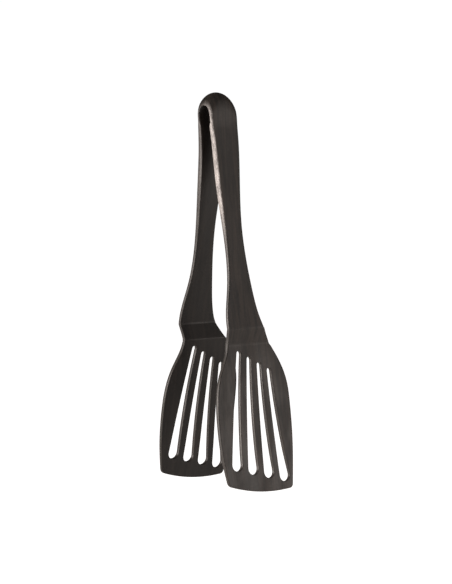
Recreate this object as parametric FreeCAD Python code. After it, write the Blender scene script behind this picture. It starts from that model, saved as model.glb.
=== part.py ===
import FreeCAD, Part
import math
import os

from FreeCAD import Vector

# One-piece nylon turner tongs: a spring bow at the top, two handles, two cranked shoulders and two
# slotted blades. Millimetres. +Z is up, +X runs across the blades, the arms open along Y, and the
# origin is the centre of the bow's loop, which is the axis that the arms flex about.

# ---- bow ----
BOW_HALF_WIDTH = 12.6        # half the bow strip's width, along X
BOW_SHIFT = -1.4             # the strip's middle lies this far off the handles' centre line
BOW_CROWN = 9.0              # how much lower the strip's side edges lie than its middle
BOW_TILT = 1.2               # the left edge lies this much higher than that, the right edge lower
BOW_RADIUS = 8.1             # outer radius of the loop, seen from the side
BOW_WALL = 2.4               # strip thickness over the top of the loop
BOW_TOP = 13.0               # highest point of the bow above the loop's centre
WAIST = 8.5                  # half the outer distance across the legs just under the loop
WAIST_SHARE = 0.6            # how far under the loop's centre that is, as a share of its radius
BOW_STATIONS = 9             # sections across the strip

# ---- handles ----
HANDLE_TOP = -13.0           # joint plane between bow and handles
HANDLE_TOP_OUT = 9.0         # outer face from the middle plane, at the handle's top
HANDLE_TOP_WALL = 3.9
HANDLE_BOW_IN = 1.9          # how far the outer face curves in from its chord, half way down
GRIP_WALL = 5.0              # thickest place of the handle
GRIP_WALL_DROP = 30.0        # how far under the handle's top that is
NECK_WALL = 3.9              # half way down the handle
GRIP_HALF_WIDTH = 11.6
GRIP_DROP = 12.0             # where that width is, under the handle's top
TAPER_DROP = 42.0            # where the sides are half way in to the neck
NECK_HALF_WIDTH = 8.2
NECK_HEIGHT = -86.0
FLARE_PLACE = 0.6            # a place between neck and crease, and how far the sides have spread there
FLARE_SHARE = 0.32
HANDLE_END_LEFT = -14.6      # side edges where the handles meet the shoulders
HANDLE_END_RIGHT = 19.2

# ---- cranked shoulders ----
CREASE_HEIGHT = -160.0       # upper bend, where the arm turns inwards
CREASE_OUT = 30.2            # outer face from the middle plane, at the crease
CRANK_DROP = 11.5            # height of the inward step
CRANK_IN = 3.6               # how far it steps in
CREASE_WALL = 3.0
CREASE_RADIUS = 1.5          # outside radius of the upper bend
HEEL_RADIUS = 3.0            # inside radius of the lower bend
SHOULDER_MARGIN = 4.0        # how far the shoulder reaches above and below its two bends

# ---- blades ----
BLADE_ANGLE = 8.3            # degrees that each blade leans out
BLADE_WALL = 3.2
BLADE_LEFT = -27.9           # widest places of the blade, which isn't centred on its handle
BLADE_RIGHT = 41.8
TIP_LEFT = (-23.6, -272.4)
TIP_RIGHT = (37.0, -279.4)
TIP_BULGE = 3.4              # how far the tip's edge curves out from its chord
TIP_CORNER = 2.5             # corner radius at each end of the tip
# Each side of a blade: shares of its widest place, at these drops under the heel.
LEFT_SIDE = ((0.48, 0.0), (0.78, 21.0), (0.96, 39.0), (1.0, 57.0), (0.97, 78.0))
RIGHT_SIDE = ((0.63, 0.0), (0.85, 15.0), (0.97, 29.0), (1.0, 45.0), (0.985, 72.0))

# ---- drain slots, between a small upper and a larger lower round end ----
SLOT_COUNT = 4
SLOT_TOP_RADIUS = 2.2
SLOT_BOTTOM_RADIUS = 4.8
SLOT_SIDE_INSET = 0.45       # how far a slot's sides curve in at mid height
SLOT_BEND = 0.9              # how far a slot's middle lies to the left of its ends
SLOT_TOP_FIRST = (-3.3, -178.2)
SLOT_TOP_LAST = (24.2, -192.4)
SLOT_BOTTOM_FIRST = (-14.2, -257.8)
SLOT_BOTTOM_LAST = (30.0, -269.4)

OVER = 20.0                  # how far cutters reach past what they cut


def line(a, b):
    return Part.LineSegment(a, b).toShape()


def arc(a, middle, b):
    return Part.Arc(a, middle, b).toShape()


def spline(points):
    curve = Part.BSplineCurve()
    curve.interpolate(points)
    return curve.toShape()


def face_of(edges):
    return Part.Face(Part.Wire(Part.__sortEdges__(edges)))


def unit(v):
    return Vector(v).normalize()


def crossing(p, along_p, q, along_q):
    """Where the line through p meets the line through q, both in a plane of constant X."""
    across = along_p.y * along_q.z - along_p.z * along_q.y
    gap = q - p
    return p + along_p * ((gap.y * along_q.z - gap.z * along_q.y) / across)


def corner(before, at, after, radius):
    """Start, middle and end of the arc that rounds the corner at a point between two others."""
    back = unit(before - at)
    ahead = unit(after - at)
    half = math.acos(max(-1.0, min(1.0, back.dot(ahead)))) / 2
    reach = radius / math.tan(half)
    centre = at + unit(back + ahead) * (radius / math.sin(half))
    return at + back * reach, centre + unit(at - centre) * radius, at + ahead * reach


# ---- the bow: a loop whose top drops towards both side edges ----

def crown(x):
    """Height of the strip at x, against its middle."""
    radius = (BOW_HALF_WIDTH ** 2 + BOW_CROWN ** 2) / (2 * BOW_CROWN)
    across = x - BOW_SHIFT
    return math.sqrt(radius ** 2 - across ** 2) - radius - BOW_TILT * across / BOW_HALF_WIDTH


def bow_section(x):
    centre = BOW_TOP - BOW_RADIUS + crown(x)
    inner = BOW_RADIUS - BOW_WALL
    slant = math.sqrt(0.5)
    waist_height = centre - WAIST_SHARE * BOW_RADIUS

    def side(out, radius, waist):
        half = [
            (out, HANDLE_TOP),
            (waist, waist_height),
            (radius, centre),
            (radius * slant, centre + radius * slant),
            (0.0, centre + radius),
        ]
        back = [(-y, z) for y, z in reversed(half[:-1])]
        return [Vector(x, y, z) for y, z in half + back]

    outer = side(HANDLE_TOP_OUT, BOW_RADIUS, WAIST)
    inside = side(HANDLE_TOP_OUT - HANDLE_TOP_WALL, inner, WAIST - BOW_WALL)
    return Part.Wire([
        spline(outer),
        line(outer[-1], inside[-1]),
        spline(inside[::-1]),
        line(inside[0], outer[0]),
    ])


def make_bow():
    step = 2 * BOW_HALF_WIDTH / (BOW_STATIONS - 1)
    sections = [bow_section(BOW_SHIFT - BOW_HALF_WIDTH + i * step) for i in range(BOW_STATIONS)]
    return Part.makeLoft(sections, True, False).common(outline_prism())


# ---- the arm seen from the side, at a distance out from the middle plane ----

def side_profile():
    blade_lean = Vector(0, math.tan(math.radians(BLADE_ANGLE)), -1)
    foot_drop = HANDLE_TOP - TIP_RIGHT[1] + OVER

    top = Vector(0, HANDLE_TOP_OUT, HANDLE_TOP)
    crease = Vector(0, CREASE_OUT, CREASE_HEIGHT)
    heel = crease + Vector(0, -CRANK_IN, -CRANK_DROP)
    foot = heel + blade_lean * (foot_drop + heel.z - HANDLE_TOP)
    chord = unit(crease - top)
    square = Vector(0, -chord.z, chord.y)
    belly = (top + crease) / 2 - square * HANDLE_BOW_IN

    # The inner side is set off by each stretch's own wall.
    crank = unit(heel - crease)
    crank_in = Vector(0, crank.z, -crank.y)
    blade = unit(blade_lean)
    blade_in = Vector(0, blade.z, -blade.y)
    crank_wall = (CREASE_WALL + BLADE_WALL) / 2
    inner_top = top - Vector(0, HANDLE_TOP_WALL, 0)
    inner_crease = crossing(crease - square * CREASE_WALL, chord, crease + crank_in * crank_wall, crank)
    inner_heel = crossing(crease + crank_in * crank_wall, crank, heel + blade_in * BLADE_WALL, blade)
    inner_foot = foot + blade_in * BLADE_WALL
    grip = top + chord * GRIP_WALL_DROP - square * GRIP_WALL
    inner_belly = belly - square * NECK_WALL

    c0, c1, c2 = corner(belly, crease, heel, CREASE_RADIUS)
    h0, h1, h2 = corner(crease, heel, foot, HEEL_RADIUS + BLADE_WALL)
    i0, i1, i2 = corner(inner_belly, inner_crease, inner_heel, CREASE_RADIUS + CREASE_WALL)
    j0, j1, j2 = corner(inner_crease, inner_heel, inner_foot, HEEL_RADIUS)
    return face_of([
        arc(top, belly, c0), arc(c0, c1, c2), line(c2, h0), arc(h0, h1, h2), line(h2, foot),
        line(foot, inner_foot),
        line(inner_foot, j2), arc(j2, j1, j0), line(j0, i2), arc(i2, i1, i0),
        spline([i0, inner_belly, grip, inner_top]), line(inner_top, top),
    ])


# ---- the whole outline seen from the front ----

def outline_prism():
    """The tongs' outline, extruded through both arms."""
    neck_to_crease = CREASE_HEIGHT - NECK_HEIGHT
    heel_height = CREASE_HEIGHT - CRANK_DROP
    grip_height = HANDLE_TOP - GRIP_DROP
    left_tip = Vector(TIP_LEFT[0], 0, TIP_LEFT[1])
    right_tip = Vector(TIP_RIGHT[0], 0, TIP_RIGHT[1])

    def handle(sign, end):
        shape = [
            (BOW_SHIFT + sign * BOW_HALF_WIDTH, BOW_TOP),
            (BOW_SHIFT + sign * BOW_HALF_WIDTH, 0.0),
            (sign * GRIP_HALF_WIDTH, grip_height),
            (sign * (GRIP_HALF_WIDTH + NECK_HALF_WIDTH) / 2, HANDLE_TOP - TAPER_DROP),
            (sign * NECK_HALF_WIDTH, NECK_HEIGHT),
            (sign * NECK_HALF_WIDTH * (1 - FLARE_SHARE) + end * FLARE_SHARE,
             NECK_HEIGHT + FLARE_PLACE * neck_to_crease),
            (end, CREASE_HEIGHT),
        ]
        return [Vector(x, 0, z) for x, z in shape]

    def blade(widest, side):
        return [Vector(widest * share, 0, heel_height - drop) for share, drop in side]

    left_side = handle(-1, HANDLE_END_LEFT) + blade(BLADE_LEFT, LEFT_SIDE) + [left_tip]
    right_side = handle(1, HANDLE_END_RIGHT) + blade(BLADE_RIGHT, RIGHT_SIDE) + [right_tip]
    tip_chord = unit(right_tip - left_tip)
    tip_middle = (left_tip + right_tip) / 2 + Vector(tip_chord.z, 0, -tip_chord.x) * TIP_BULGE
    face = face_of([
        spline(left_side),
        arc(left_tip, tip_middle, right_tip),
        spline(right_side),
        line(left_side[0], right_side[0]),
    ])
    depth = 2 * (CREASE_OUT + 2 * OVER)
    face.translate(Vector(0, -depth / 2, 0))
    prism = face.extrude(Vector(0, depth, 0))
    tip_edges = [
        edge for edge in prism.Edges
        if edge.Length > 0.99 * depth and edge.Vertexes[0].Point.z < CREASE_HEIGHT
    ]
    return prism.makeFillet(TIP_CORNER, tip_edges)


def slot(index):
    """The cutter of one drain slot: a small and a large round end joined by gently curved sides."""
    share = index / (SLOT_COUNT - 1)

    def between(first, last):
        return Vector(first[0] + (last[0] - first[0]) * share, 0, first[1] + (last[1] - first[1]) * share)

    top = between(SLOT_TOP_FIRST, SLOT_TOP_LAST)
    bottom = between(SLOT_BOTTOM_FIRST, SLOT_BOTTOM_LAST)
    down = unit(bottom - top)
    right = Vector(-down.z, 0, down.x)
    middle = (top + bottom) / 2 - right * SLOT_BEND
    half = (SLOT_TOP_RADIUS + SLOT_BOTTOM_RADIUS) / 2 - SLOT_SIDE_INSET
    upper_right = top + right * SLOT_TOP_RADIUS
    upper_left = top - right * SLOT_TOP_RADIUS
    lower_right = bottom + right * SLOT_BOTTOM_RADIUS
    lower_left = bottom - right * SLOT_BOTTOM_RADIUS
    face = face_of([
        arc(upper_left, top - down * SLOT_TOP_RADIUS, upper_right),
        arc(upper_right, middle + right * half, lower_right),
        arc(lower_right, bottom + down * SLOT_BOTTOM_RADIUS, lower_left),
        arc(lower_left, middle - right * half, upper_left),
    ])
    return face.extrude(Vector(0, CREASE_OUT + 2 * OVER, 0))


# ---- one arm, then both, cut at the joint planes ----

def slab(low, high):
    """Everything between two heights."""
    size = 4 * (CREASE_OUT + OVER)
    return Part.makeBox(size, size, high - low, Vector(-size / 2, -size / 2, low))


def make_arm():
    profile = side_profile()
    width = 2 * (BLADE_RIGHT + OVER)
    profile.translate(Vector(-width / 2, 0, 0))
    return profile.extrude(Vector(width, 0, 0)).common(outline_prism())


def main():
    os.makedirs("parts", exist_ok=True)
    shoulder_top = CREASE_HEIGHT + SHOULDER_MARGIN
    shoulder_end = CREASE_HEIGHT - CRANK_DROP - SHOULDER_MARGIN
    arm = make_arm()
    blade = arm.common(slab(TIP_RIGHT[1] - OVER, shoulder_end))
    for index in range(SLOT_COUNT):
        blade = blade.cut(slot(index))
    pieces = {
        "handle": arm.common(slab(shoulder_top, HANDLE_TOP)),
        "shoulder": arm.common(slab(shoulder_end, shoulder_top)),
        "blade": blade,
    }
    nodes = {"spring_bow": make_bow()}
    for name, piece in pieces.items():
        nodes["rear_" + name] = piece
        nodes["front_" + name] = piece.mirror(Vector(0, 0, 0), Vector(0, 1, 0))
    for name, shape in nodes.items():
        solid = shape.Solids[0]
        assert len(shape.Solids) == 1, name
        assert solid.isValid(), name
        solid.exportStep(f"parts/{name}.step")
        box = solid.optimalBoundingBox()
        print(f"{name:16s} {solid.Volume / 1000:7.2f} cm3  X {box.XMin:.1f}..{box.XMax:.1f}"
              f"  Y {box.YMin:.1f}..{box.YMax:.1f}  Z {box.ZMin:.1f}..{box.ZMax:.1f}")


main()
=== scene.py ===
import math

import bmesh
import bpy
import numpy as np
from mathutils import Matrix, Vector
from mathutils.geometry import delaunay_2d_cdt


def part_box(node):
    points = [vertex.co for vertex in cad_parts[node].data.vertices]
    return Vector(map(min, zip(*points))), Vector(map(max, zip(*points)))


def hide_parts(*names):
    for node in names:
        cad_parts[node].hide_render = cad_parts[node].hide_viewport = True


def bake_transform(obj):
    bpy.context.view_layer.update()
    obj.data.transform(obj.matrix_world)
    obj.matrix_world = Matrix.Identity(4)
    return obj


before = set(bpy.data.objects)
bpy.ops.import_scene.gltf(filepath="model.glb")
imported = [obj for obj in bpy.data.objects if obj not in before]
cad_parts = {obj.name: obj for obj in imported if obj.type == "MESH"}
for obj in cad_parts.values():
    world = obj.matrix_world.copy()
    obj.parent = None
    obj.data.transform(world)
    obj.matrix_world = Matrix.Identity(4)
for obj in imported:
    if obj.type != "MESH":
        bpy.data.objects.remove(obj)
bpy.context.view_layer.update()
mm = 0.001


def curveThrough(points, samples):
    # natural cubic through the points; samples run from 0 to 1 along the chords
    p = np.array(points, float)
    t = np.concatenate([[0.0], np.cumsum(np.linalg.norm(np.diff(p, axis=0), axis=1))])
    h = np.diff(t)
    left, right = np.eye(len(p)), np.zeros_like(p)
    for i in range(1, len(p) - 1):
        left[i, i - 1:i + 2] = h[i - 1], 2 * (h[i - 1] + h[i]), h[i]
        right[i] = 6 * ((p[i + 1] - p[i]) / h[i] - (p[i] - p[i - 1]) / h[i - 1])
    bend = np.linalg.solve(left, right)
    u = np.asarray(samples, float) * t[-1]
    k = np.clip(np.searchsorted(t, u, side="right") - 1, 0, len(h) - 1)
    ahead, back, span = (t[k + 1] - u)[:, None], (u - t[k])[:, None], h[k][:, None]
    return (
        bend[k] * ahead ** 3 / (6 * span) + bend[k + 1] * back ** 3 / (6 * span)
        + (p[k] / span - bend[k] * span / 6) * ahead
        + (p[k + 1] / span - bend[k + 1] * span / 6) * back
    )


def chordShare(points, index):
    # how far along the chords one of the points lies, 0 to 1
    steps = np.linalg.norm(np.diff(np.array(points, float), axis=0), axis=1)
    return steps[:index].sum() / steps.sum()


def arcThrough(a, b, c, samples):
    # circle arc from a through b to c, in a plane
    a, b, c = (complex(*p) for p in (a, b, c))
    w = (c - a) / (b - a)
    centre = (b - a) * (w - abs(w) ** 2) / (2j * w.imag) + a
    radius = abs(a - centre)
    start = np.angle(a - centre)
    turn = np.angle((c - centre) / (a - centre))
    middle = np.angle((b - centre) / (a - centre))
    if turn * middle < 0:
        turn -= math.copysign(2 * math.pi, turn)
    z = centre + radius * np.exp(1j * (start + turn * np.asarray(samples)))
    return np.stack([z.real, z.imag], 1)


def unit(v):
    v = np.asarray(v, float)
    return v / np.linalg.norm(v)


def roundedCorner(before, at, after, radius, count):
    # points of the arc that rounds a corner
    back, ahead = unit(np.subtract(before, at)), unit(np.subtract(after, at))
    half = math.acos(float(np.clip(back @ ahead, -1, 1))) / 2
    reach = radius / math.tan(half)
    centre = np.asarray(at) + unit(back + ahead) * radius / math.sin(half)
    middle = centre + unit(np.asarray(at) - centre) * radius
    return arcThrough(at + back * reach, middle, at + ahead * reach, np.linspace(0, 1, count))


def crossing(p, alongP, q, alongQ):
    across = alongP[0] * alongQ[1] - alongP[1] * alongQ[0]
    gap = np.subtract(q, p)
    return np.asarray(p) + alongP * (gap[0] * alongQ[1] - gap[1] * alongQ[0]) / across


# Sizes are in millimetres and in the frame's own axes, down to the camera. "Out" is away from the middle
# plane between the arms, and each place along an arm is a height.

bow = {
    "halfWidth": 12.6, "shift": -1.4, "crown": 9.0, "tilt": 1.2, "radius": 8.1, "wall": 2.4,
    "waist": 8.5, "waistShare": 0.6,
    "rows": 76, "topRows": (0.0015, 0.005), "outerRound": 1.0, "innerRound": 0.7,
}
bow["top"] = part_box("spring_bow")[1].z / mm


def crown(x):
    radius = (bow["halfWidth"] ** 2 + bow["crown"] ** 2) / (2 * bow["crown"])
    across = np.asarray(x) - bow["shift"]
    return np.sqrt(radius ** 2 - across ** 2) - radius - bow["tilt"] * across / bow["halfWidth"]


handle = {
    "top": -13.0, "topOut": 9.0, "topWall": 3.9, "bowIn": 1.9,
    "gripWall": 5.0, "gripWallDrop": 30.0, "neckWall": 3.9,
    "gripHalfWidth": 11.6, "gripDrop": 12.0, "taperDrop": 42.0,
    "neckHalfWidth": 8.2, "neckHeight": -86.0, "flarePlace": 0.6, "flareShare": 0.32,
    "endLeft": -14.6, "endRight": 19.2,
    "rows": 84, "leadRows": (5, 10, 16),
    "topRound": 1.5, "gripRound": 1.3, "neckRound": 0.9, "innerRound": 0.7, "neckInnerRound": 0.7,
}
shoulder = {
    "creaseHeight": -160.0, "creaseOut": 30.2, "drop": 11.5, "stepIn": 3.6, "wall": 3.0,
    "creaseRadius": 1.5, "heelRadius": 3.0, "cornerRows": 10, "crankRows": 10,
    "innerLead": 8, "innerClear": 0.2, "outerRound": 0.7, "innerRound": 0.6,
}
blade = {
    "angle": 8.3, "wall": 3.2, "left": -27.9, "right": 41.8,
    "tipLeft": (-23.6, -272.4), "tipRight": (37.0, -279.4), "tipBulge": 3.4, "tipCorner": 2.5,
    # shares of the widest place, and how far under the heel
    "leftSide": ((0.48, 0), (0.78, 21), (0.96, 39), (1.0, 57), (0.97, 78)),
    "rightSide": ((0.63, 0), (0.85, 15), (0.97, 29), (1.0, 45), (0.985, 72)),
    "start": -174.5, "sideRows": 60, "sideSamples": 1200, "tipPoints": 44, "edgeRound": 0.55,
    "cornerReach": 1.1, "cornerPoints": 9, "cornerClear": 1.05, "pastTip": 10.0,
    "thinFrom": -250.0, "tipWall": 2.2,
    # points of the flat face between the slots
    "lattice": 3.0, "latticeRow": 0.866, "latticeClear": 0.55, "sliver": 1e-4, "merge": 1e-6,
}


def bladeLine():
    # the fixed points of the arm's outer side, as (out, height)
    top = np.array([handle["topOut"], handle["top"]])
    crease = np.array([shoulder["creaseOut"], shoulder["creaseHeight"]])
    heel = crease - [shoulder["stepIn"], shoulder["drop"]]
    lean = np.array([math.tan(math.radians(blade["angle"])), -1.0])
    foot = heel + lean * (heel[1] - blade["tipRight"][1] + blade["pastTip"])
    return top, crease, heel, foot


def handleRows():
    top, crease, heel, foot = bladeLine()
    chord = unit(crease - top)
    square = np.array([-chord[1], chord[0]])
    belly = (top + crease) / 2 - square * handle["bowIn"]
    corner = roundedCorner(belly, crease, heel, shoulder["creaseRadius"], shoulder["cornerRows"])
    share = np.linspace(0, 1, handle["rows"])
    outer = arcThrough(top, belly, corner[0], share)
    slope = np.gradient(outer, axis=0)
    slope /= np.linalg.norm(slope, axis=1)[:, None]
    length = handle["top"] - shoulder["creaseHeight"]
    wall = curveThrough([(0, handle["topWall"]), (handle["gripWallDrop"], handle["gripWall"]),
                         (length / 2, handle["neckWall"]), (length, shoulder["wall"])], share)[:, 1]
    inner = outer + np.stack([slope[:, 1], -slope[:, 0]], 1) * wall[:, None]
    inner[0] = top - [handle["topWall"], 0]
    return outer, inner, corner


def bowRows(outerNext, innerNext):
    # from the top of the loop down to the handle; the next handle points keep the curve smooth
    centre = bow["top"] - bow["radius"]
    waistHeight = centre - bow["waistShare"] * bow["radius"]
    slant = math.sqrt(0.5)

    def side(radius, waist, end, following):
        half = [(radius * slant, centre + radius * slant), (radius, centre),
                (waist, waistHeight), end]
        mirrored = [(-y, z) for y, z in half[:2]][::-1]
        points = mirrored + [(0.0, centre + radius)] + half + [tuple(p) for p in following]
        first, last = chordShare(points, 2), chordShare(points, 6)
        samples = np.linspace(0, 1, bow["rows"])
        samples = np.sort(np.concatenate([samples, bow["topRows"]]))
        return curveThrough(points, first + (last - first) * samples)

    outer = side(bow["radius"], bow["waist"], (handle["topOut"], handle["top"]), outerNext)
    inner = side(bow["radius"] - bow["wall"], bow["waist"] - bow["wall"],
                 (handle["topOut"] - handle["topWall"], handle["top"]), innerNext)
    fall = np.clip((outer[:, 1] - handle["top"]) / (waistHeight - handle["top"]), 0, 1)
    below = outer[:, 0] > bow["radius"] / 2  # the legs, not the dome
    lowered = np.where(below & (outer[:, 1] < waistHeight), fall * fall * (3 - 2 * fall), 1.0)
    outer[0, 0] = inner[0, 0] = 0.0
    return outer, inner, lowered


def armRows():
    top, crease, heel, foot = bladeLine()
    outer, inner, corner = handleRows()
    lead = list(handle["leadRows"])
    bowOuter, bowInner, lowered = bowRows(outer[lead], inner[lead])

    crank, lean = unit(heel - crease), unit(foot - heel)
    crankIn, bladeIn = np.array([crank[1], -crank[0]]), np.array([lean[1], -lean[0]])
    crankWall = (shoulder["wall"] + blade["wall"]) / 2
    endSlope = unit(inner[-1] - inner[-2])
    innerHeel = crossing(crease + crankIn * crankWall, crank, heel + bladeIn * blade["wall"], lean)
    innerCrease = crossing(inner[-1], endSlope, crease + crankIn * crankWall, crank)
    count = shoulder["cornerRows"]
    innerCorner = roundedCorner(inner[-shoulder["innerLead"]], innerCrease, innerHeel,
                                shoulder["creaseRadius"] + shoulder["wall"], count)
    heelOuter = roundedCorner(crease, heel, foot, shoulder["heelRadius"] + blade["wall"], count)
    heelInner = roundedCorner(innerCrease, innerHeel, foot + bladeIn * blade["wall"],
                              shoulder["heelRadius"], count)

    # the handle's inner line stops where the inner corner's arc begins
    keep = inner[:, 1] > innerCorner[0, 1] + shoulder["innerClear"]
    last = int(np.argmin(keep)) - 1
    blendRows = np.linspace(0, 1, len(inner) - last)[1:-1, None]
    inner[last + 1:-1] = inner[last] * (1 - blendRows) + innerCorner[0] * blendRows
    inner[-1] = innerCorner[0]

    between = np.linspace(0, 1, shoulder["crankRows"])[1:-1, None]
    crankOuter = corner[-1] * (1 - between) + heelOuter[0] * between
    crankInner = innerCorner[-1] * (1 - between) + heelInner[0] * between

    def down(start, height):
        return start + lean * (height - start[1]) / lean[1]

    marks = [blade["start"], (blade["start"] + blade["thinFrom"]) / 2, blade["thinFrom"], foot[1]]
    thin = [1.0, 1.0, 1.0, blade["tipWall"] / blade["wall"]]
    bladeOuter = np.array([down(heelOuter[-1], z) for z in marks])
    bladeInner = np.array([p + bladeIn * blade["wall"] * k for p, k in zip(bladeOuter, thin)])

    rowsOuter = np.concatenate([bowOuter[:-1], outer[:-1], corner, crankOuter, heelOuter, bladeOuter])
    rowsInner = np.concatenate([bowInner[:-1], inner[:-1], innerCorner, crankInner, heelInner, bladeInner])
    rowsLowered = np.concatenate([lowered[:-1], np.zeros(len(rowsOuter) - len(bowOuter) + 1)])
    return rowsOuter, rowsInner, rowsLowered, len(rowsOuter) - len(marks)


outerLine, innerLine, loweredBy, bladeRow = armRows()
middleLine = (outerLine + innerLine) / 2
along = np.concatenate([[0.0], np.cumsum(np.linalg.norm(np.diff(middleLine, axis=0), axis=1))])
walls = np.linalg.norm(outerLine - innerLine, axis=1)
rowNumber = np.arange(len(along))
print("arm line:", len(along), "rows,", round(float(along[-1])), "mm along")


def place(flat, depth, side, fromInner):
    # flat is (x, length along the arm); depth is how far in from the outer or the inner face
    x, s = flat[:, 0], flat[:, 1]
    row = np.interp(s, along, rowNumber)

    def pick(values):
        return np.interp(row, rowNumber, values)

    share = depth / pick(walls)
    if fromInner:
        share = 1 - share
    out = pick(outerLine[:, 0]) * (1 - share) + pick(innerLine[:, 0]) * share
    z = pick(outerLine[:, 1]) * (1 - share) + pick(innerLine[:, 1]) * share + pick(loweredBy) * crown(np.clip(
        x, bow["shift"] - bow["halfWidth"], bow["shift"] + bow["halfWidth"]))
    return np.stack([x, side * out, z], 1) * mm


def sideOutline(sign, end, widest, side, tip):
    # one side of the outline from the front, from the bow to the tip, as (x, height)
    gripHeight = handle["top"] - handle["gripDrop"]
    neckWidth, gripWidth = handle["neckHalfWidth"], handle["gripHalfWidth"]
    toCrease = shoulder["creaseHeight"] - handle["neckHeight"]
    heelHeight = shoulder["creaseHeight"] - shoulder["drop"]
    points = [
        (bow["shift"] + sign * bow["halfWidth"], bow["top"]),
        (bow["shift"] + sign * bow["halfWidth"], 0.0),
        (sign * gripWidth, gripHeight),
        (sign * (gripWidth + neckWidth) / 2, handle["top"] - handle["taperDrop"]),
        (sign * neckWidth, handle["neckHeight"]),
        (sign * neckWidth * (1 - handle["flareShare"]) + end * handle["flareShare"],
         handle["neckHeight"] + handle["flarePlace"] * toCrease),
        (end, shoulder["creaseHeight"]),
    ]
    points += [(widest * share, heelHeight - drop) for share, drop in side] + [tip]
    return curveThrough(points, np.linspace(0, 1, blade["sideSamples"]))


leftSide = sideOutline(-1, handle["endLeft"], blade["left"], blade["leftSide"], blade["tipLeft"])
rightSide = sideOutline(1, handle["endRight"], blade["right"], blade["rightSide"], blade["tipRight"])


def lengthAt(z):
    # length along the arm of a height, from the handle's top downwards
    first = bow["rows"]
    return np.interp(-np.asarray(z), -outerLine[first:, 1], along[first:])


def edgeX(curve, z):
    return np.interp(-np.asarray(z), -curve[:, 1], curve[:, 0])


def softenCorners(line, corners, reach, count):
    # swaps each marked corner of an open line for a small curve
    travelled = np.concatenate([[0.0], np.cumsum(np.linalg.norm(np.diff(line, axis=0), axis=1))])
    pieces = []
    clear = reach * blade["cornerClear"]
    t = np.linspace(0, 1, count)[:, None]

    def at(d):
        return np.array([np.interp(d, travelled, line[:, k]) for k in (0, 1)])

    keptFrom = 0
    for index in corners:
        d = travelled[index]
        a, b, c = at(d - reach), line[index], at(d + reach)
        keptTo = int(np.searchsorted(travelled, d - clear))
        pieces.append(line[keptFrom:keptTo])
        pieces.append((1 - t) ** 2 * a + 2 * t * (1 - t) * b + t ** 2 * c)
        keptFrom = int(np.searchsorted(travelled, d + clear))
    pieces.append(line[keptFrom:])
    return np.concatenate(pieces)


def rim():
    # the whole free edge, from the bow down one side, round the tip and up the other
    sides = []
    for curve, sign in ((leftSide, -1), (rightSide, 1)):
        lowered = loweredBy[:bladeRow + 1] * crown(bow["shift"] + sign * bow["halfWidth"])
        x = edgeX(curve, middleLine[:bladeRow + 1, 1] + lowered)
        sides.append(np.stack([x, along[:bladeRow + 1]], 1))
    left, right = sides
    start = outerLine[bladeRow, 1]
    below = []
    for curve, tip in ((leftSide, blade["tipLeft"]), (rightSide, blade["tipRight"])):
        z = np.linspace(start, tip[1], blade["sideRows"])[1:]
        below.append(np.stack([edgeX(curve, z), z], 1))
    a, b = np.array(blade["tipLeft"]), np.array(blade["tipRight"])
    chord = unit(b - a)
    middle = (a + b) / 2 + np.array([chord[1], -chord[0]]) * blade["tipBulge"]
    tip = arcThrough(a, middle, b, np.linspace(0, 1, blade["tipPoints"]))[1:-1]
    bladeEdge = np.concatenate([below[0], tip, below[1][::-1]])
    corners = [len(below[0]) - 1, len(below[0]) + len(tip)]
    reach = blade["tipCorner"] * blade["cornerReach"]
    bladeEdge = softenCorners(bladeEdge, corners, reach, blade["cornerPoints"])
    bladeEdge = np.stack([bladeEdge[:, 0], lengthAt(bladeEdge[:, 1])], 1)
    return left, bladeEdge, right


slots = {
    "count": 4, "topRadius": 2.2, "bottomRadius": 4.8, "sideInset": 0.45, "bend": 0.9,
    "topFirst": (-3.3, -178.2), "topLast": (24.2, -192.4),
    "bottomFirst": (-14.2, -257.8), "bottomLast": (30.0, -269.4),
    "edgeRound": 0.4, "sidePoints": 22, "capPoints": 13,
}


def slotLoop(index):
    # one drain slot's outline, as (x, length along the arm)
    share = index / (slots["count"] - 1)

    def between(first, last):
        return np.array(first) * (1 - share) + np.array(last) * share

    top = between(slots["topFirst"], slots["topLast"])
    bottom = between(slots["bottomFirst"], slots["bottomLast"])
    down = unit(bottom - top)
    right = np.array([-down[1], down[0]])
    small, large = slots["topRadius"], slots["bottomRadius"]
    half = (small + large) / 2 - slots["sideInset"]
    middle = (top + bottom) / 2 - right * slots["bend"]
    cap = np.linspace(0, 1, slots["capPoints"])
    side = np.linspace(0, 1, slots["sidePoints"])
    loop = np.concatenate([
        arcThrough(top - right * small, top - down * small, top + right * small, cap)[:-1],
        arcThrough(top + right * small, middle + right * half, bottom + right * large, side)[:-1],
        arcThrough(bottom + right * large, bottom + down * large, bottom - right * large, cap)[:-1],
        arcThrough(bottom - right * large, middle - right * half, top - right * small, side)[:-1],
    ])
    return np.stack([loop[:, 0], lengthAt(loop[:, 1])], 1)


def inwardNormals(line, closed, turn):
    # unit vectors across the line, in the flat plane
    if closed:
        tangent = np.roll(line, -1, axis=0) - np.roll(line, 1, axis=0)
    else:
        tangent = np.gradient(line, axis=0)
    tangent /= np.linalg.norm(tangent, axis=1)[:, None]
    return turn * np.stack([-tangent[:, 1], tangent[:, 0]], 1)


def insideLoop(points, loop):
    x, y = points[:, 0][:, None], points[:, 1][:, None]
    x1, y1 = loop[:, 0][None], loop[:, 1][None]
    x2, y2 = np.roll(loop[:, 0], -1)[None], np.roll(loop[:, 1], -1)[None]
    crosses = (y1 > y) != (y2 > y)
    at = x1 + (y - y1) * (x2 - x1) / np.where(crosses, y2 - y1, 1)
    return (crosses & (x < at)).sum(1) % 2 == 1


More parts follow.
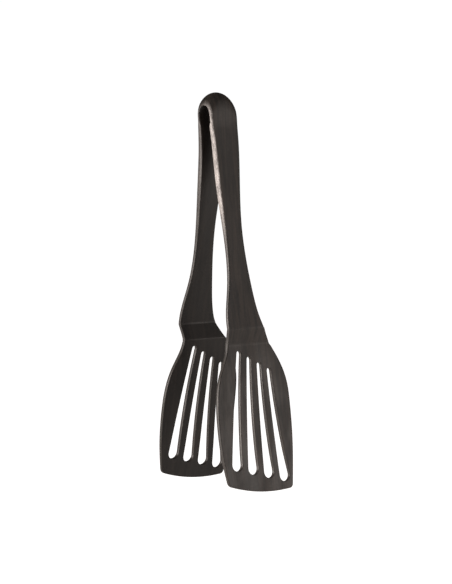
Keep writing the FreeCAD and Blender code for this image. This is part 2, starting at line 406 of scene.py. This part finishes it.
# rings round every free edge; the near values say how exposed to rubbing each ring is
edge = {
    "steps": 5, "support": 0.35, "flash": 0.07, "flashWidth": 0.22, "columns": 26, "lowest": -400.0,
    "nearSupport": 0.12, "nearSide": 0.25, "nearFlash": 0.9, "nearRound": 0.3, "probe": 0.1,
}


def roundAt(s, inner):
    # edge radius along the arm
    marks = [-bow["top"], handle["top"], handle["top"] - handle["gripDrop"],
             handle["neckHeight"], shoulder["creaseHeight"], blade["start"], edge["lowest"]]
    if inner:
        values = [bow["innerRound"], handle["innerRound"], handle["innerRound"], handle["neckInnerRound"],
                  shoulder["innerRound"], blade["edgeRound"], blade["edgeRound"]]
    else:
        values = [bow["outerRound"], handle["topRound"], handle["gripRound"], handle["neckRound"],
                  shoulder["outerRound"], blade["edgeRound"], blade["edgeRound"]]
    lengths = [0.0] + [float(lengthAt(z)) for z in marks[1:]]
    return np.interp(s, lengths, values)


def nearAt(turn):
    # rubbing is strongest in the middle of a rounded edge
    return edge["nearRound"] + (1 - edge["nearRound"]) * math.sin(2 * turn)


def buildHalf(name, side):
    mesh = bmesh.new()
    nearEdge = mesh.verts.layers.float.new("edgeNear")
    onSide = mesh.verts.layers.float.new("sideFace")

    def addRing(flat, depth, fromInner, value, sideShare=0.0):
        points = place(flat, depth, side, fromInner)
        ring = [mesh.verts.new(p) for p in points]
        for v in ring:
            v[nearEdge] = value
            v[onSide] = sideShare
        return ring

    def edgeBand(line, inward, closed, outerRound, innerRound):
        # rings from the outer face, over the free edge, to the inner face
        rings, flats = [], []

        def ring(inset, depth, fromInner, value, sideShare=1.0):
            flat = line + inward * np.broadcast_to(inset, len(line))[:, None]
            if not closed:
                flat[0, 1] = flat[-1, 1] = 0.0
            flats.append(flat)
            rings.append(addRing(flat, np.broadcast_to(depth, len(line)), fromInner, value, sideShare))

        ring(outerRound + edge["support"], 0.0, False, edge["nearSupport"], 0.0)
        for k in range(edge["steps"] + 1):
            a = math.pi / 2 * k / edge["steps"]
            ring(outerRound * (1 - math.sin(a)), outerRound * (1 - math.cos(a)), False,
                 nearAt(a), k / edge["steps"])
        wall = np.interp(line[:, 1], along, walls)
        middle = (outerRound + wall - innerRound) / 2
        ring(0.0, middle - edge["flashWidth"], False, edge["nearSide"])
        ring(-edge["flash"], middle, False, edge["nearFlash"])
        ring(0.0, middle + edge["flashWidth"], False, edge["nearSide"])
        for k in range(edge["steps"] + 1):
            a = math.pi / 2 * (1 - k / edge["steps"])
            ring(innerRound * (1 - math.sin(a)), innerRound * (1 - math.cos(a)), True,
                 nearAt(a), 1 - k / edge["steps"])
        ring(innerRound + edge["support"], 0.0, True, edge["nearSupport"], 0.0)
        for a, b in zip(rings, rings[1:]):
            for i in range(len(line) - (0 if closed else 1)):
                j = (i + 1) % len(line)
                mesh.faces.new((a[i], b[i], b[j], a[j]))
        return rings, flats

    left, bladeEdge, right = rim()
    line = np.concatenate([left, bladeEdge, right[::-1]])
    inward = inwardNormals(line, False, -1)
    inward[0], inward[-1] = (1, 0), (-1, 0)
    rings, flats = edgeBand(line, inward, False, roundAt(line[:, 1], False), roundAt(line[:, 1], True))

    # columns across, from the loop down to the top of the blade
    even = np.linspace(0, 1, edge["columns"])
    across = (even + 0.5 - 0.5 * np.cos(np.pi * even)) / 2
    faces = []
    for which, fromInner in ((0, False), (-1, True)):
        grid = []
        for i in range(bladeRow + 1):
            a, b = flats[which][i], flats[which][len(line) - 1 - i]
            flat = a + (b - a) * across[1:-1, None]
            row = addRing(flat, np.zeros(len(flat)), fromInner, 0.0)
            grid.append([rings[which][i]] + row + [rings[which][len(line) - 1 - i]])
            lastFlat = flat
        for r1, r2 in zip(grid, grid[1:]):
            for k in range(len(r1) - 1):
                mesh.faces.new((r1[k], r1[k + 1], r2[k + 1], r2[k]))
        faces.append((grid, lastFlat))

    # the flat end at the top of the loop, hidden against the other half
    topOuter, topInner = faces[0][0][0], faces[1][0][0]
    cap = [mesh.faces.new((topOuter[k], topInner[k], topInner[k + 1], topOuter[k + 1]))
           for k in range(len(topOuter) - 1)]
    cap.append(mesh.faces.new([ring[0] for ring in rings]))
    cap.append(mesh.faces.new([ring[-1] for ring in rings]))

    # the blade between its rim, the four slots and the last row of columns
    n = bladeRow
    chain = slice(n, len(line) - n)
    flat = [flats[0][chain], faces[0][1][::-1]]
    outerVerts = list(rings[0][chain]) + faces[0][0][-1][1:-1][::-1]
    innerVerts = list(rings[-1][chain]) + faces[1][0][-1][1:-1][::-1]
    loops = [np.concatenate(flat)]
    for index in range(slots["count"]):
        loop = slotLoop(index)
        turn = 1 if insideLoop(loop[:1] + inwardNormals(loop, True, 1)[:1] * edge["probe"], loop)[0] else -1
        rounds = np.full(len(loop), slots["edgeRound"])
        slotRings, slotFlats = edgeBand(loop, inwardNormals(loop, True, -turn), True, rounds, rounds)
        loops.append(slotFlats[0])
        outerVerts += slotRings[0]
        innerVerts += slotRings[-1]
    step = blade["lattice"]
    low, high = loops[0].min(0), loops[0].max(0)
    spots = []
    for r, s in enumerate(np.arange(low[1], high[1], step * blade["latticeRow"])):
        for x in np.arange(low[0] + (r % 2) * step / 2, high[0], step):
            spots.append((x, s))
    spots = np.array(spots)
    keep = insideLoop(spots, loops[0])
    for loop in loops[1:]:
        keep &= ~insideLoop(spots, loop)
    for loop in loops:
        gap = np.linalg.norm(spots[:, None] - loop[None], axis=2).min(1)
        keep &= gap > blade["latticeClear"] * step
    spots = spots[keep]
    outerVerts += addRing(spots, np.zeros(len(spots)), False, 0.0)
    innerVerts += addRing(spots, np.zeros(len(spots)), True, 0.0)
    flat = np.concatenate(loops + [spots])
    bounds, start = [], 0
    for loop in loops:
        bounds += [(start + i, start + (i + 1) % len(loop)) for i in range(len(loop))]
        start += len(loop)
    made = delaunay_2d_cdt([Vector(p) for p in flat], bounds, [], 0, blade["merge"])
    source = [o[0] for o in made[3]]
    corners = np.array([[source[i] for i in f] for f in made[2]])
    centres = flat[corners].mean(1)
    sideA, sideB = (flat[corners[:, k]] - flat[corners[:, 0]] for k in (1, 2))
    area = np.abs(sideA[:, 0] * sideB[:, 1] - sideA[:, 1] * sideB[:, 0]) / 2
    # leaves out the slivers along a straight edge
    keep = insideLoop(centres, loops[0]) & (area > blade["sliver"])
    for loop in loops[1:]:
        keep &= ~insideLoop(centres, loop)
    for a, b, c in corners[keep]:
        mesh.faces.new((outerVerts[a], outerVerts[b], outerVerts[c]))
        mesh.faces.new((innerVerts[a], innerVerts[c], innerVerts[b]))

    bmesh.ops.recalc_face_normals(mesh, faces=mesh.faces)
    for f in mesh.faces:
        f.smooth = True
    for f in cap:
        for e in f.edges:
            if any(g not in cap for g in e.link_faces):
                e.smooth = False
    openEdges = sum(len(e.link_faces) != 2 for e in mesh.edges)
    data = bpy.data.meshes.new(name)
    mesh.to_mesh(data)
    mesh.free()
    half = bpy.data.objects.new(name, data)
    bpy.context.scene.collection.objects.link(half)
    print(name, "built:", len(data.vertices), "points,", openEdges, "open edges")
    return half


frontHalf = buildHalf("frontArm", -1)
rearHalf = buildHalf("rearArm", 1)

for half, arm in ((frontHalf, "front"), (rearHalf, "rear")):
    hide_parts("spring_bow", arm + "_handle", arm + "_shoulder", arm + "_blade")
    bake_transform(half)


def groupCalled(name, inputs, outputs):
    group = bpy.data.node_groups.new(name, "ShaderNodeTree")
    for label, kind, value in inputs:
        socket = group.interface.new_socket(label, in_out="INPUT", socket_type=kind)
        socket.default_value = value
    for label, kind in outputs:
        group.interface.new_socket(label, in_out="OUTPUT", socket_type=kind)
    return group, group.nodes.new("NodeGroupInput"), group.nodes.new("NodeGroupOutput")


def node(tree, kind, links=None, **settings):
    # one node with its settings and what feeds it
    made = tree.nodes.new(kind)
    for key, value in settings.items():
        setattr(made, key, value)
    for key, value in (links or {}).items():
        if isinstance(value, bpy.types.NodeSocket):
            tree.links.new(value, made.inputs[key])
        else:
            made.inputs[key].default_value = value
    return made


def maths(tree, operation, a, b=0.0, clamp=False):
    return node(tree, "ShaderNodeMath", {0: a, 1: b}, operation=operation, use_clamp=clamp).outputs[0]


def remap(tree, value, fromLow, fromHigh, toLow=0.0, toHigh=1.0):
    links = {"Value": value, "From Min": fromLow, "From Max": fromHigh, "To Min": toLow, "To Max": toHigh}
    return node(tree, "ShaderNodeMapRange", links, interpolation_type="SMOOTHSTEP").outputs["Result"]


def stretched(tree, vector, scale):
    return node(tree, "ShaderNodeVectorMath", {0: vector, 1: scale}, operation="MULTIPLY").outputs[0]


def blendOf(tree, a, b, share):
    # a and b added in proportion
    return maths(tree, "ADD", maths(tree, "MULTIPLY", a, share), maths(tree, "MULTIPLY", b, 1 - share))


def noise(tree, vector, scale, detail=3.0, roughness=0.5):
    links = {"Vector": vector, "Scale": scale, "Detail": detail, "Roughness": roughness}
    return node(tree, "ShaderNodeTexNoise", links).outputs["Fac"]


grainMarks = {
    "fineShare": 0.4, "fineDetail": 2.0, "sunk": (0.35, 0.65),
    "flowStretch": (1.0, 1.0, 0.25), "flowScale": 60.0, "flow": (0.3, 0.7),
}


def makeMouldGrain():
    # the fine pebbled skin of a moulded part, with flow marks along it
    group, start, end = groupCalled(
        "mouldGrain",
        [("Vector", "NodeSocketVector", (0, 0, 0)), ("Grain", "NodeSocketFloat", 2600.0),
         ("Pebble", "NodeSocketFloat", 700.0)],
        [("Height", "NodeSocketFloat"), ("Mottle", "NodeSocketFloat")],
    )
    vector, grain, pebble = (start.outputs[k] for k in ("Vector", "Grain", "Pebble"))
    fine = noise(group, vector, grain, grainMarks["fineDetail"])
    coarse = noise(group, vector, pebble, 3.0, 0.6)
    sunk = remap(group, coarse, *grainMarks["sunk"])
    height = blendOf(group, fine, sunk, grainMarks["fineShare"])
    group.links.new(height, end.inputs["Height"])
    long = stretched(group, vector, grainMarks["flowStretch"])
    flow = noise(group, long, grainMarks["flowScale"], 4.0, 0.6)
    group.links.new(remap(group, flow, *grainMarks["flow"]), end.inputs["Mottle"])
    return group


rubbedMarks = {
    "patchScale": 90.0, "patches": (0.35, 0.7), "nickScale": 900.0, "nicks": (0.5, 0.62),
    "patchShare": 0.7, "edge": (0.1, 0.95),
}


def makeRubbedEdges():
    # edges polished and paled by handling, broken up by noise
    group, start, end = groupCalled(
        "rubbedEdges",
        [("Vector", "NodeSocketVector", (0, 0, 0)), ("Edge", "NodeSocketFloat", 0.0),
         ("Amount", "NodeSocketFloat", 0.5)],
        [("Mask", "NodeSocketFloat")],
    )
    vector, near, amount = (start.outputs[k] for k in ("Vector", "Edge", "Amount"))
    patches = noise(group, vector, rubbedMarks["patchScale"], 4.0, 0.65)
    nicks = noise(group, vector, rubbedMarks["nickScale"], 2.0)
    broken = blendOf(group, remap(group, patches, *rubbedMarks["patches"]),
                     remap(group, nicks, *rubbedMarks["nicks"]), rubbedMarks["patchShare"])
    mask = maths(group, "MULTIPLY", remap(group, near, *rubbedMarks["edge"]), broken)
    group.links.new(maths(group, "MULTIPLY", mask, amount, True), end.inputs["Mask"])
    return group


scratchMarks = {
    # turn about Y, stretch along the arm, scale
    "hairs": ((0.05, 14.0, 1500.0), (-0.12, 9.0, 1100.0), (0.9, 7.0, 900.0)), "hair": (0.705, 0.74),
    "areaScale": 35.0, "area": (0.42, 0.6),
    "wipedStretch": (1.0, 0.4, 0.045), "wipedScale": 330.0, "wiped": (0.36, 0.68),
}


def makeScratches():
    # hairline scratches, mostly along the arm, and the soft streaks left by wiping
    group, start, end = groupCalled(
        "scratches",
        [("Vector", "NodeSocketVector", (0, 0, 0)), ("Density", "NodeSocketFloat", 0.5)],
        [("Lines", "NodeSocketFloat"), ("Streaks", "NodeSocketFloat")],
    )
    vector, density = start.outputs["Vector"], start.outputs["Density"]
    lines = None
    for turn, stretch, scale in scratchMarks["hairs"]:
        turned = node(group, "ShaderNodeVectorRotate",
                      {"Vector": vector, "Angle": turn}, rotation_type="Y_AXIS").outputs[0]
        thin = noise(group, stretched(group, turned, (1.0, 0.3, 1.0 / stretch)), scale, 1.0)
        hair = remap(group, thin, *scratchMarks["hair"])
        lines = hair if lines is None else maths(group, "MAXIMUM", lines, hair)
    where = remap(group, noise(group, vector, scratchMarks["areaScale"], 2.0), *scratchMarks["area"])
    lines = maths(group, "MULTIPLY", maths(group, "MULTIPLY", lines, where), density, True)
    group.links.new(lines, end.inputs["Lines"])
    long = stretched(group, vector, scratchMarks["wipedStretch"])
    wiped = noise(group, long, scratchMarks["wipedScale"], 3.0, 0.6)
    group.links.new(remap(group, wiped, *scratchMarks["wiped"]), end.inputs["Streaks"])
    return group


# lengths here are in metres
# painted highlight on the left side edge: where it lies and how it breaks into flecks and bands
sideHighlightMarks = {
    "left": (0.003, 0.006), "topFade": 0.014, "bottomFade": 0.045, "side": (0.02, 0.4),
    "fleckStretch": (1.0, 1.0, 0.5), "fleckScale": 1500.0, "flecks": (0.36, 0.6), "fleckShare": 0.55,
    "bandStretch": (1.0, 1.0, 0.6), "bandScale": 160.0, "bands": (0.3, 0.6),
}


def makePaintedSideHighlight():
    # a painted silvery highlight along the left side edge of a handle, between two heights, broken into
    # flecks and bands
    group, start, end = groupCalled(
        "paintedSideHighlight",
        [("Vector", "NodeSocketVector", (0, 0, 0)), ("Side", "NodeSocketFloat", 0.0),
         ("Top", "NodeSocketFloat", 0.0), ("Bottom", "NodeSocketFloat", -0.1)],
        [("Mask", "NodeSocketFloat")],
    )
    vector, side, top, bottom = (start.outputs[k] for k in ("Vector", "Side", "Top", "Bottom"))
    parts = node(group, "ShaderNodeSeparateXYZ", {"Vector": vector}).outputs
    left = remap(group, maths(group, "MULTIPLY", parts["X"], -1.0), *sideHighlightMarks["left"])
    under = remap(group, maths(group, "SUBTRACT", top, parts["Z"]), 0.0, sideHighlightMarks["topFade"])
    over = remap(group, maths(group, "SUBTRACT", parts["Z"], bottom), 0.0, sideHighlightMarks["bottomFade"])
    flecks = stretched(group, vector, sideHighlightMarks["fleckStretch"])
    flecks = remap(group, noise(group, flecks, sideHighlightMarks["fleckScale"], 3.0, 0.7), *sideHighlightMarks["flecks"])
    bands = stretched(group, vector, sideHighlightMarks["bandStretch"])
    bands = remap(group, noise(group, bands, sideHighlightMarks["bandScale"], 3.0, 0.6), *sideHighlightMarks["bands"])
    mask = blendOf(group, flecks, bands, sideHighlightMarks["fleckShare"])
    for part in (left, under, over):
        mask = maths(group, "MULTIPLY", mask, part)
    mask = maths(group, "MULTIPLY", mask, remap(group, side, *sideHighlightMarks["side"]), True)
    group.links.new(mask, end.inputs["Mask"])
    return group


mouldGrain, rubbedEdges, scratches = makeMouldGrain(), makeRubbedEdges(), makeScratches()
paintedSideHighlight = makePaintedSideHighlight()

litFrontLook = {
    "dark": (0.0085, 0.0070, 0.0062, 1), "pale": (0.016, 0.0133, 0.0118, 1),
    "rubbed": (0.060, 0.054, 0.049, 1), "streak": (0.045, 0.033, 0.026, 1),
    # the painted silvery highlight on the left side edge, between two heights in metres
    "highlightColour": (0.66, 0.62, 0.60, 1), "highlightTop": 0.006, "highlightBottom": -0.102, "highlightAmount": 1.0,
    "streakAmount": 0.7, "wear": 0.55, "scratch": 0.6, "paintedSideSheen": 0.50, "specular": 0.5,
    "smooth": 0.36, "rough": 0.50, "grain": 0.10, "grainDepth": 0.00012, "ior": 1.53,
    "linePale": 0.35, "lineRough": 0.12, "lineDepth": 1.2, "rubbedGloss": 0.10,
}
# painted shade: the rear arm's copy of the same nylon is darker, reflects less and gets little of the painted
# highlight, as it lies behind the front arm
shadedRearLook = dict(
    litFrontLook, streakAmount=0.25, scratch=0.45, wear=0.5, highlightAmount=0.12, paintedSideSheen=0.4, specular=0.34,
    dark=(0.0065, 0.0054, 0.0048, 1), pale=(0.0125, 0.0103, 0.0092, 1),
)


def mix(tree, factor, a, b):
    made = tree.nodes.new("ShaderNodeMix")
    made.data_type = "RGBA"
    for socket, value in ((made.inputs[0], factor), (made.inputs[6], a), (made.inputs[7], b)):
        if isinstance(value, bpy.types.NodeSocket):
            tree.links.new(value, socket)
        else:
            socket.default_value = value
    return made.outputs[2]


def placed(tree, group, links):
    made = tree.nodes.new("ShaderNodeGroup")
    made.node_tree = group
    made.label = group.name
    for key, value in links.items():
        if isinstance(value, bpy.types.NodeSocket):
            tree.links.new(value, made.inputs[key])
        else:
            made.inputs[key].default_value = value
    return made.outputs


def nylon(name, look):
    # satin moulded nylon: warm black, paler where it is rubbed, with painted sheen on the side walls and a
    # painted silvery highlight on the left side edge
    material = bpy.data.materials.new(name)
    material.use_nodes = True
    tree = material.node_tree
    shader = tree.nodes["Principled BSDF"]
    where = node(tree, "ShaderNodeTexCoord").outputs["Object"]
    near = node(tree, "ShaderNodeAttribute", attribute_name="edgeNear").outputs["Fac"]
    grain = placed(tree, mouldGrain, {"Vector": where})
    rubbed = placed(tree, rubbedEdges, {"Vector": where, "Edge": near, "Amount": look["wear"]})["Mask"]
    marks = placed(tree, scratches, {"Vector": where, "Density": look["scratch"]})
    base = mix(tree, grain["Mottle"], look["dark"], look["pale"])
    streaks = maths(tree, "MULTIPLY", marks["Streaks"], look["streakAmount"])
    base = mix(tree, streaks, base, look["streak"])
    sideFace = node(tree, "ShaderNodeAttribute", attribute_name="sideFace").outputs["Fac"]
    # painted highlight: a silvery colour laid on the left side edge of the handle
    paintedHighlight = placed(tree, paintedSideHighlight, {"Vector": where, "Side": sideFace, "Top": look["highlightTop"],
                                         "Bottom": look["highlightBottom"]})["Mask"]
    paintedHighlight = maths(tree, "MULTIPLY", paintedHighlight, look["highlightAmount"])
    # painted sheen: every side wall, the slot walls too, paled towards the rubbed colour
    base = mix(tree, maths(tree, "MULTIPLY", sideFace, look["paintedSideSheen"]), base, look["rubbed"])
    base = mix(tree, rubbed, base, look["rubbed"])
    base = mix(tree, paintedHighlight, base, look["highlightColour"])
    base = mix(tree, maths(tree, "MULTIPLY", marks["Lines"], look["linePale"]), base, look["rubbed"])
    tree.links.new(base, shader.inputs["Base Color"])
    gloss = remap(tree, grain["Mottle"], 0.0, 1.0, look["rough"], look["smooth"])
    gloss = maths(tree, "SUBTRACT", gloss, maths(tree, "MULTIPLY", rubbed, look["rubbedGloss"]))
    gloss = maths(tree, "ADD", gloss, maths(tree, "MULTIPLY", marks["Lines"], look["lineRough"]), True)
    tree.links.new(gloss, shader.inputs["Roughness"])
    shader.inputs["IOR"].default_value = look["ior"]
    shader.inputs["Specular IOR Level"].default_value = look["specular"]
    cut = maths(tree, "MULTIPLY", marks["Lines"], look["lineDepth"])
    height = maths(tree, "SUBTRACT", grain["Height"], cut)
    bump = node(tree, "ShaderNodeBump",
                {"Height": height, "Strength": look["grain"], "Distance": look["grainDepth"]})
    tree.links.new(bump.outputs["Normal"], shader.inputs["Normal"])
    return material


frontHalf.data.materials.append(nylon("litFrontNylon", litFrontLook))
rearHalf.data.materials.append(nylon("shadedRearNylon", shadedRearLook))
print("nylon on both arms")


# metres and degrees from here on
camera = {
    "place": (-0.8740, -1.0651, -0.0360), "heading": 39.598, "down": 4.091,
    "lens": 114.55, "sensor": 36.0, "clip": (0.05, 60.0),
}
studio = {
    "floor": -0.340, "floorSize": 14.0, "floorSquares": 8,
    "paper": (0.93, 0.93, 0.925, 1), "paperRough": 0.85,
    "paperGlow": 0.95, "bounce": 0.36, "backdrop": 1.02, "fill": 0.11,
    "warm": (1.0, 0.915, 0.86), "aim": (0, 0, -0.13),
}
lamps = {
    # place, size, watts
    "keyBox": ((1.35, -1.55, -0.18), (1.3, 0.35), 5.0),
    "sideBox": ((-1.9, 1.0, 0.0), (0.7, 1.2), 46.0),
    "edgeBox": ((-1.7, -0.9, 0.1), (0.5, 1.0), 6.0),
    "topBox": ((-0.3, -1.2, 1.5), (1.4, 1.4), 2.2),
    "upperBox": ((1.3, -1.4, 0.65), (1.1, 0.4), 0.9),
}


def aimed(obj, direction):
    obj.rotation_mode = "QUATERNION"
    obj.rotation_quaternion = Vector(direction).to_track_quat("-Z", "Y")


eye = bpy.data.objects.new("camera", bpy.data.cameras.new("camera"))
bpy.context.scene.collection.objects.link(eye)
eye.location = camera["place"]
heading, down = math.radians(camera["heading"]), math.radians(camera["down"])
aimed(eye, (math.sin(heading) * math.cos(down), math.cos(heading) * math.cos(down), -math.sin(down)))
eye.data.lens = camera["lens"]
eye.data.sensor_width = camera["sensor"]
eye.data.clip_start, eye.data.clip_end = camera["clip"]
bpy.context.scene.camera = eye

floorMesh = bmesh.new()
squares = studio["floorSquares"]
bmesh.ops.create_grid(floorMesh, x_segments=squares, y_segments=squares, size=studio["floorSize"] / 2)
floorData = bpy.data.meshes.new("floor")
floorMesh.to_mesh(floorData)
floorMesh.free()
floor = bpy.data.objects.new("floor", floorData)
floor.location.z = studio["floor"]
bpy.context.scene.collection.objects.link(floor)
paper = bpy.data.materials.new("palePaper")
paper.use_nodes = True
paperShader = paper.node_tree.nodes["Principled BSDF"]
paperShader.inputs["Base Color"].default_value = studio["paper"]
paperShader.inputs["Roughness"].default_value = studio["paperRough"]
# one glow for the camera, which keeps the paper even, and a weaker one that lights the tongs
paperGlow = node(paper.node_tree, "ShaderNodeEmission", {"Strength": studio["paperGlow"]})
paperSeen = node(paper.node_tree, "ShaderNodeLightPath").outputs["Is Camera Ray"]
paperBounce = node(paper.node_tree, "ShaderNodeEmission",
                   {"Color": (*studio["warm"], 1), "Strength": studio["bounce"]})
paperLit = node(paper.node_tree, "ShaderNodeMixShader",
                {0: paperSeen, 1: paperBounce.outputs[0], 2: paperGlow.outputs[0]})
paperBoth = node(paper.node_tree, "ShaderNodeAddShader", {0: paperShader.outputs[0], 1: paperLit.outputs[0]})
paper.node_tree.links.new(paperBoth.outputs[0], paper.node_tree.nodes["Material Output"].inputs["Surface"])
floorData.materials.append(paper)

for name, (spot, size, watts) in lamps.items():
    light = bpy.data.lights.new(name, "AREA")
    light.shape = "RECTANGLE"
    light.size, light.size_y = size
    light.energy = watts
    light.color = studio["warm"]
    lamp = bpy.data.objects.new(name, light)
    lamp.location = spot
    lamp.visible_camera = False
    aimed(lamp, Vector(studio["aim"]) - Vector(spot))
    bpy.context.scene.collection.objects.link(lamp)

world = bpy.data.worlds.new("studio")
world.use_nodes = True
air = world.node_tree
air.nodes.clear()
seen = node(air, "ShaderNodeBackground", {"Color": (1, 1, 1, 1), "Strength": studio["backdrop"]})
lit = node(air, "ShaderNodeBackground", {"Color": (*studio["warm"], 1), "Strength": studio["fill"]})
direct = node(air, "ShaderNodeLightPath").outputs["Is Camera Ray"]
both = node(air, "ShaderNodeMixShader", {0: direct, 1: lit.outputs[0], 2: seen.outputs[0]})
node(air, "ShaderNodeOutputWorld", {"Surface": both.outputs[0]})
bpy.context.scene.world = world
bpy.context.scene.view_settings.view_transform = "Standard"
print("camera, floor and lamps in place")
